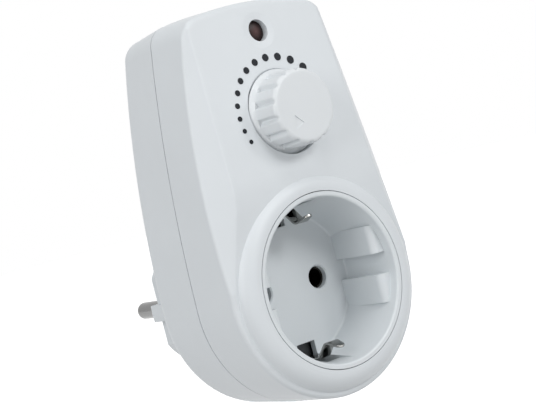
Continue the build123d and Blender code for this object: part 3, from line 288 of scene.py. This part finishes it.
def metal(name, colour, roughness):
    """Plated or bare metal with a fine grain."""
    material, tree, shader = new_material(name)
    set_values(shader, {"Metallic": 1.0})
    vary_colour(tree, shader, colour, scale=300, amount=0.03)
    vary_roughness(tree, shader, roughness, scale=1000, amount=0.03)
    fine_grain(tree, shader, scale=2600, depth=1 * micron)
    return material


def dark_lens(name, node):
    """Dark red plastic, with a soft paler middle painted into its colour as painted glow of the lamp
    behind.
    """
    material, tree, shader = new_material(name)
    low, high = [Vector(corner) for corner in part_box(node)]
    middle = (low + high) / 2
    middle.y = low.y
    away = tree.nodes.new("ShaderNodeVectorMath")
    away.operation = "DISTANCE"
    away.inputs[1].default_value = middle
    link(tree, object_place(tree), away.inputs[0])
    spread = tree.nodes.new("ShaderNodeMapRange")
    set_values(spread, {"From Max": (high.x - low.x) / 2})
    link(tree, away.outputs["Value"], spread.inputs["Value"])
    # Painted glow in the middle, fading to the lens's own dark red towards the rim
    stops = ((0, lens_painted_glow_colour), (lens_rim_share, lens_rim_colour))
    ramp_colour(tree, shader, spread.outputs["Result"], stops, "EASE")
    set_values(shader, {"Roughness": 0.4, "IOR": 1.42, "Specular IOR Level": 0.3})
    fine_grain(tree, shader, scale=1500, depth=4 * micron)
    return material


def clear_glass(name, colour):
    """Thin glass, a little tinted."""
    material, tree, shader = new_material(name)
    vary_colour(tree, shader, colour, scale=200, amount=0.02)
    set_values(shader, {"Roughness": 0.03, "Transmission Weight": 0.9, "IOR": 1.47})
    fine_grain(tree, shader, scale=400, depth=4 * micron)
    return material


def banded(name, colour, band_colour, bands):
    """A lacquered body with bands of a second colour."""
    material, tree, shader = new_material(name)
    stops = ((0, colour), (band_share, band_colour))
    ramp_colour(tree, shader, object_bands(tree, "X", bands), stops, "CONSTANT")
    vary_roughness(tree, shader, roughness=0.35, scale=600, amount=0.05)
    return material


def wound(name, colour, turns):
    """Enamelled wire laid side by side: ridges that follow one another along Z."""
    material, tree, shader = new_material(name)
    vary_colour(tree, shader, colour, scale=400, amount=0.08)
    set_values(shader, {"Metallic": 0.6})
    vary_roughness(tree, shader, roughness=0.32, scale=800, amount=0.05)
    relief(tree, shader, object_bands(tree, "Z", turns), depth=0.2 * mm)
    return material


# One material for each slot of the record: its name, colour and roughness, and what sets it apart
materials = {
    "housing": moulded("housing_plastic", (0.69, 0.722, 0.745), 0.42),
    "insert": moulded("insert_plastic", (0.69, 0.725, 0.745), 0.38),
    "knob": moulded("knob_plastic", (0.725, 0.752, 0.77), 0.4),
    "print": printed("printed_ink", (0.012, 0.014, 0.018), 0.55),
    "lens": dark_lens("indicator_lens_red", "indicator_lens"),
    "lamp": clear_glass("glow_lamp_glass", (0.85, 0.6, 0.45)),
    # Painted reflection: both nickels are darker than bare nickel, standing in for dark surroundings
    # that the pins and clips reflect
    "nickel": metal("nickel_with_painted_dark_reflection", (0.23, 0.23, 0.228), 0.2),
    "clip": metal("nickel_strip_with_painted_dark_reflection", (0.34, 0.338, 0.325), 0.1),
    "brass": metal("stamped_brass", (0.72, 0.52, 0.24), 0.32),
    # Painted shade: the strap is near-black so that the clip slots in front of it read as dark shade
    "strap": metal("strip_painted_shade_black", (0.05, 0.052, 0.055), 0.42),
    # Painted shade: the contact sleeves are near-black so that the pin holes read as deep shade
    "contact": metal("contact_painted_shade_black", (0.035, 0.034, 0.03), 0.4),
    "steel": metal("zinc_steel", (0.55, 0.55, 0.56), 0.36),
    "grey_plastic": moulded("grey_moulding", (0.32, 0.33, 0.34), 0.45),
    "phenolic": moulded(
        "brown_laminate", (0.26, 0.13, 0.045), 0.5, grain=3000, depth=10 * micron, patches=700
    ),
    "carbon": moulded("black_moulding", (0.02, 0.02, 0.022), 0.5),
    "aluminium": metal("bare_aluminium", (0.7, 0.7, 0.71), 0.38),
    "ferrite": moulded("powder_core", (0.06, 0.075, 0.055), 0.55, grain=5000, depth=10 * micron),
    "copper": wound("enamelled_copper", (0.55, 0.19, 0.08), turns=260),
    "box_capacitor": moulded("capacitor_box", (0.7, 0.4, 0.02), 0.35),
    "resistor": banded("resistor_lacquer", (0.6, 0.45, 0.25), (0.25, 0.04, 0.02), bands=180),
    "diac": banded("diac_lacquer", (0.04, 0.12, 0.35), (0.6, 0.6, 0.6), bands=120),
    "fuse_glass": clear_glass("fuse_tube_glass", (0.93, 0.96, 0.95)),
    "wire_brown": moulded("brown_insulation", (0.09, 0.03, 0.012), 0.42),
    "wire_black": moulded("black_insulation", (0.015, 0.015, 0.015), 0.42),
    "wire_blue": moulded("blue_insulation", (0.02, 0.08, 0.4), 0.42),
}


def dress(mesh, slot):
    mesh.materials.clear()
    mesh.materials.append(materials[slot])


def smooth(mesh, crease_angle):
    """Smooth shading, with sharp edges where faces meet at more than an angle in degrees."""
    mesh.shade_smooth()
    mesh.set_sharp_from_angle(angle=math.radians(crease_angle))


for part in frame["record"]["subparts"]:
    dress(frame["nodes"][part["node"]].data, part["material_slot"])


# Knob: one lathed form with flutes that fade into its rounded face edge, and a sunk triangle
knob_low, knob_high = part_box("dial_knob")
shaft_low, shaft_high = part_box("dial_shaft")
dial_x = (knob_low[0] + knob_high[0]) / 2
dial_z = (knob_low[2] + knob_high[2]) / 2
dial_centre = Vector((dial_x, knob_low[1], dial_z))
knob_depth = knob_high[1] - knob_low[1]
flange_radius = (knob_high[0] - knob_low[0]) / 2
shaft_radius = (shaft_high[0] - shaft_low[0]) / 2
face_radius = 9.52 * mm
skirt_radius = 9.9 * mm
face_edge = 1.15 * mm
flange_thickness = 1.65 * mm
rim_thickness = 0.4 * mm
rim_edge = 0.12 * mm
face_thickness = 1.5 * mm
hollow_radius = 7.3 * mm
hub_radius = 4.6 * mm
bore_gap = 0.05 * mm

# Radii of the flat face's rings in mm, and the steps of the edge and the skirt
face_rings = (0, 2.5, 5, 7, 7.9)
edge_steps = 8
skirt_steps = 10

# The flutes reach the first share of their depth over the face's rounded edge, and all of it
# at the second share of the way down the skirt
flute_count = 14
flute_steps = 26
flute_turn = math.radians(164.5)
flute_half_angle = math.radians(6.6)
flute_depth = 1.0 * mm
flute_edge_share = 0.7
flute_skirt_share = 0.2
flute_fade_power = 1.5

pointer_turn = math.radians(228)
pointer_apex = 7.3 * mm
pointer_base = 4.05 * mm
pointer_half_width = 1.65 * mm
pointer_sink = 0.2 * mm
knob_crease_angle = 38


def knob_profile():
    """Radius, depth behind the face and share of the flutes, from the face's centre to the bore."""
    points = [(radius * mm, 0, 0) for radius in face_rings]
    for step in range(edge_steps + 1):
        turn = math.pi / 2 * step / edge_steps
        radius = face_radius - face_edge + face_edge * math.sin(turn)
        share = flute_edge_share * (step / edge_steps) ** flute_fade_power
        points.append((radius, face_edge * (1 - math.cos(turn)), share))
    skirt_end = knob_depth - flange_thickness
    for step in range(1, skirt_steps + 1):
        down = step / skirt_steps
        radius = face_radius + (skirt_radius - face_radius) * down
        depth = face_edge + (skirt_end - face_edge) * down
        share = flute_edge_share + (1 - flute_edge_share) * min(1, down / flute_skirt_share)
        points.append((radius, depth, share))
    bore_radius = shaft_radius + bore_gap
    plain = [
        (skirt_radius, skirt_end),
        (flange_radius - rim_edge, knob_depth - rim_thickness - rim_edge),
        (flange_radius, knob_depth - rim_thickness),
        (flange_radius, knob_depth - rim_edge),
        (flange_radius - rim_edge, knob_depth),
        (hollow_radius, knob_depth),
        (hollow_radius, face_thickness),
        (hub_radius, face_thickness),
        (hub_radius, knob_depth),
        (bore_radius, knob_depth),
        (bore_radius, face_thickness),
        (0, face_thickness),
    ]
    return points + [(radius, depth, 0) for radius, depth in plain]


def flute(turn):
    """How deep the nearest flute is at this angle, from 0 to 1."""
    pitch = 2 * math.pi / flute_count
    off = (turn - flute_turn + pitch / 2) % pitch - pitch / 2
    if abs(off) >= flute_half_angle:
        return 0
    return 0.5 + 0.5 * math.cos(math.pi * off / flute_half_angle)


def lathe(name, profile, centre, steps, cut):
    """A closed form turned about Y from a line that starts and ends on the axis."""
    verts = [centre + Vector((0, profile[0][1], 0))]
    for radius, depth, share in profile[1:-1]:
        for step in range(steps):
            turn = 2 * math.pi * step / steps
            reach = radius - flute_depth * share * cut(turn)
            verts.append(centre + Vector((reach * math.cos(turn), depth, reach * math.sin(turn))))
    verts.append(centre + Vector((0, profile[-1][1], 0)))
    rings = len(profile) - 2
    last = len(verts) - 1
    faces = []
    for step in range(steps):
        after = (step + 1) % steps
        faces.append((0, 1 + step, 1 + after))
        for ring in range(rings - 1):
            near = 1 + ring * steps
            far = near + steps
            faces.append((near + step, far + step, far + after, near + after))
        near = 1 + (rings - 1) * steps
        faces.append((near + after, near + step, last))
    mesh = bpy.data.meshes.new(name)
    mesh.from_pydata(verts, [], faces)
    mesh.update()
    return add_object(name, mesh)


def prism(name, outline, front, back):
    """A straight-sided form between two depths, from an outline in X and Z."""
    count = len(outline)
    verts = [(x, y, z) for y in (front, back) for x, z in outline]
    faces = [tuple(range(count)), tuple(reversed(range(count, 2 * count)))]
    faces += [(k, k + count, (k + 1) % count + count, (k + 1) % count) for k in range(count)]
    mesh = bpy.data.meshes.new(name)
    mesh.from_pydata(verts, [], faces)
    form = bmesh.new()
    form.from_mesh(mesh)
    bmesh.ops.recalc_face_normals(form, faces=form.faces)
    form.to_mesh(mesh)
    form.free()
    return add_object(name, mesh)


def cut_away(piece, cutter):
    """Cut one form out of another and remove it."""
    modifier = piece.modifiers.new("pocket", "BOOLEAN")
    modifier.operation = "DIFFERENCE"
    modifier.solver = "EXACT"
    modifier.object = cutter
    bpy.context.view_layer.update()
    shaped = piece.evaluated_get(bpy.context.evaluated_depsgraph_get())
    piece.data = bpy.data.meshes.new_from_object(shaped)
    piece.modifiers.clear()
    bpy.data.objects.remove(cutter)


def polar(reach, turn):
    return Vector((reach * math.cos(turn), 0, reach * math.sin(turn)))


def pointer_outline():
    """The sunk triangle's corners in X and Z, with its apex outwards."""
    apex = dial_centre + polar(pointer_apex, pointer_turn)
    base = dial_centre + polar(pointer_base, pointer_turn)
    aside = polar(pointer_half_width, pointer_turn + math.pi / 2)
    return [(corner.x, corner.z) for corner in (apex, base + aside, base - aside)]


knob = lathe("knob_turned", knob_profile(), dial_centre, flute_count * flute_steps, flute)
face_y = dial_centre.y
cut_away(knob, prism("cutter", pointer_outline(), face_y - pointer_sink, face_y + pointer_sink))
smooth(knob.data, knob_crease_angle)
dress(knob.data, "knob")
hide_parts("dial_knob")
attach(knob, "dial")


# Earth clips: smooth bent strips that narrow to a rounded tip. Their sizes are in mm, and each corner
# is a depth behind the socket's rim and a distance from its axis
rim_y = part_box("socket_insert")[0][1]
clip_corners = ((19.8, 19.5), (11.8, 19.5), (7.8, 15.5), (3.3, 17.1))
clip_bend_radius = 1.9
clip_thickness = 0.62
clip_edge = 0.16
clip_half_width = 2.0
clip_crest_half_width = 1.9
clip_tip_radius = 1.4
clip_crease_angle = 50
bend_steps = 8
tip_steps = 9
corner_steps = 3


def bend(before, corner, after):
    """The points of the arc that rounds one corner of a line."""
    corner = Vector(corner)
    back = (Vector(before) - corner).normalized()
    ahead = (Vector(after) - corner).normalized()
    half_gap = back.angle(ahead) / 2
    run = clip_bend_radius / math.tan(half_gap)
    centre = corner + (back + ahead).normalized() * clip_bend_radius / math.sin(half_gap)
    start = corner + back * run - centre
    turn = start.angle_signed(corner + ahead * run - centre)
    points = []
    for step in range(bend_steps + 1):
        angle = -turn * step / bend_steps
        points.append(centre + Vector((
            start.x * math.cos(angle) - start.y * math.sin(angle),
            start.x * math.sin(angle) + start.y * math.cos(angle),
        )))
    return points


def clip_line():
    """The strip's middle line, with its bends rounded and closer points along its tip."""
    points = [Vector(clip_corners[0])]
    for before, corner, after in zip(clip_corners, clip_corners[1:], clip_corners[2:]):
        points += bend(before, corner, after)
    end = Vector(clip_corners[-1])
    tip_start = end + (points[-1] - end).normalized() * clip_tip_radius
    for step in range(tip_steps + 1):
        points.append(tip_start.lerp(end, math.sin(math.pi / 2 * step / tip_steps)))
    return points


def strip_half_width(length, crest, tip_start):
    """Half the strip's width at a length: it narrows to the crest, then to its round tip."""
    if length >= tip_start:
        share = min(1, (length - tip_start) / clip_tip_radius)
        return max(clip_edge / 2, clip_tip_radius * math.sqrt(1 - share * share))
    if length > crest:
        change = clip_tip_radius - clip_crest_half_width
        return clip_crest_half_width + change * (length - crest) / (tip_start - crest)
    return clip_half_width + (clip_crest_half_width - clip_half_width) * length / crest


def strip_section(half_width):
    """A flat section with rounded corners, as pairs of place across and place through."""
    edge = min(clip_edge, half_width)
    half_thickness = clip_thickness / 2
    section = []
    for corner in range(4):
        across = (half_width - edge) * (1 if corner in (0, 3) else -1)
        through = (half_thickness - clip_edge) * (1 if corner < 2 else -1)
        for step in range(corner_steps + 1):
            angle = math.pi / 2 * (corner + step / corner_steps)
            section.append((across + edge * math.cos(angle), through + clip_edge * math.sin(angle)))
    return section


def spring_clip(name, side):
    """The strip on one side of the socket: 1 is the upper one and -1 the lower."""
    line = clip_line()
    lengths = [0]
    for before, after in zip(line, line[1:]):
        lengths.append(lengths[-1] + (after - before).length)
    crest = lengths[-tip_steps - 2]
    tip_start = lengths[-1] - clip_tip_radius
    form = bmesh.new()
    rings = []
    for index, point in enumerate(line):
        near = line[max(index - 1, 0)]
        far = line[min(index + 1, len(line) - 1)]
        along = (far - near).normalized()
        normal = Vector((-along.y, along.x))
        ring = []
        for across, through in strip_section(strip_half_width(lengths[index], crest, tip_start)):
            place = point + normal * through
            ring.append(form.verts.new((across * mm, rim_y + place.x * mm, side * place.y * mm)))
        rings.append(ring)
    count = len(rings[0])
    for near, far in zip(rings, rings[1:]):
        for k in range(count):
            form.faces.new((near[k], near[(k + 1) % count], far[(k + 1) % count], far[k]))
    form.faces.new(rings[0])
    form.faces.new(rings[-1])
    bmesh.ops.recalc_face_normals(form, faces=form.faces)
    mesh = bpy.data.meshes.new(name)
    form.to_mesh(mesh)
    form.free()
    return add_object(name, mesh)


for place, side in (("upper", 1), ("lower", -1)):
    clip = spring_clip(f"spring_clip_{place}", side)
    smooth(clip.data, clip_crease_angle)
    dress(clip.data, "clip")
    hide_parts(f"earth_clip_{place}")
    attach(clip, f"earth_clip_{place}")
